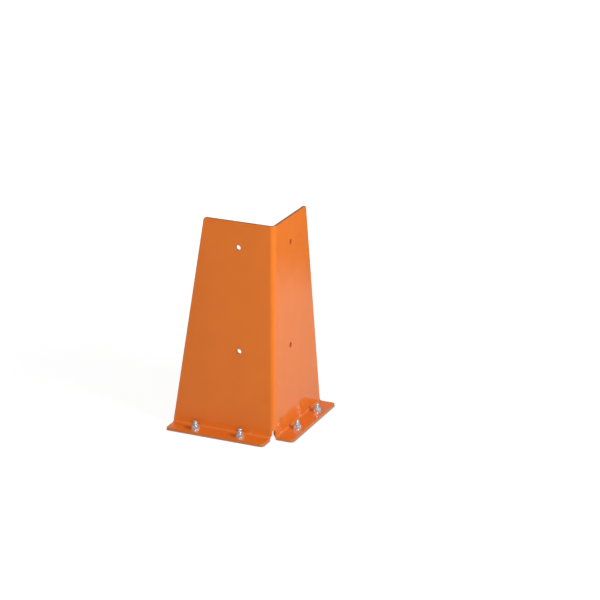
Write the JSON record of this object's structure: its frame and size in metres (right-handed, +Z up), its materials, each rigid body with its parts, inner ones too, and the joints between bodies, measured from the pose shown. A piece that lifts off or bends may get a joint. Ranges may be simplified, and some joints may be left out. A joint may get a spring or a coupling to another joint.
{
  "type": "rack column guard",
  "caption": "Upright corner guard for a rack column: thick orange steel sheet folded to an angle, its outward floor flanges held down by wedge anchors.",
  "frame": {"origin": "where the planes of the two inner faces meet at floor level, at the corner that the column stands in", "axes": "-X along the left leg, +Y along the right leg, +Z up; the left flange points to -Y and the right one to +X"},
  "size_m": [0.231, 0.231, 0.4535],
  "materials": {
    "orange_powder_coat": "glossy orange powder coat",
    "zinc_plated_steel": "bright zinc plating",
    "clip_steel": "plain stainless spring steel"
  },
  "bodies": {
    "root": {"guard": "orange_powder_coat", "left_outer_anchor_stud": "zinc_plated_steel", "left_outer_expansion_clip": "clip_steel", "left_outer_washer": "zinc_plated_steel", "left_outer_nut": "zinc_plated_steel", "left_inner_anchor_stud": "zinc_plated_steel", "left_inner_expansion_clip": "clip_steel", "left_inner_washer": "zinc_plated_steel", "left_inner_nut": "zinc_plated_steel", "right_inner_anchor_stud": "zinc_plated_steel", "right_inner_expansion_clip": "clip_steel", "right_inner_washer": "zinc_plated_steel", "right_inner_nut": "zinc_plated_steel", "right_outer_anchor_stud": "zinc_plated_steel", "right_outer_expansion_clip": "clip_steel", "right_outer_washer": "zinc_plated_steel", "right_outer_nut": "zinc_plated_steel"}
  },
  "joints": []
}
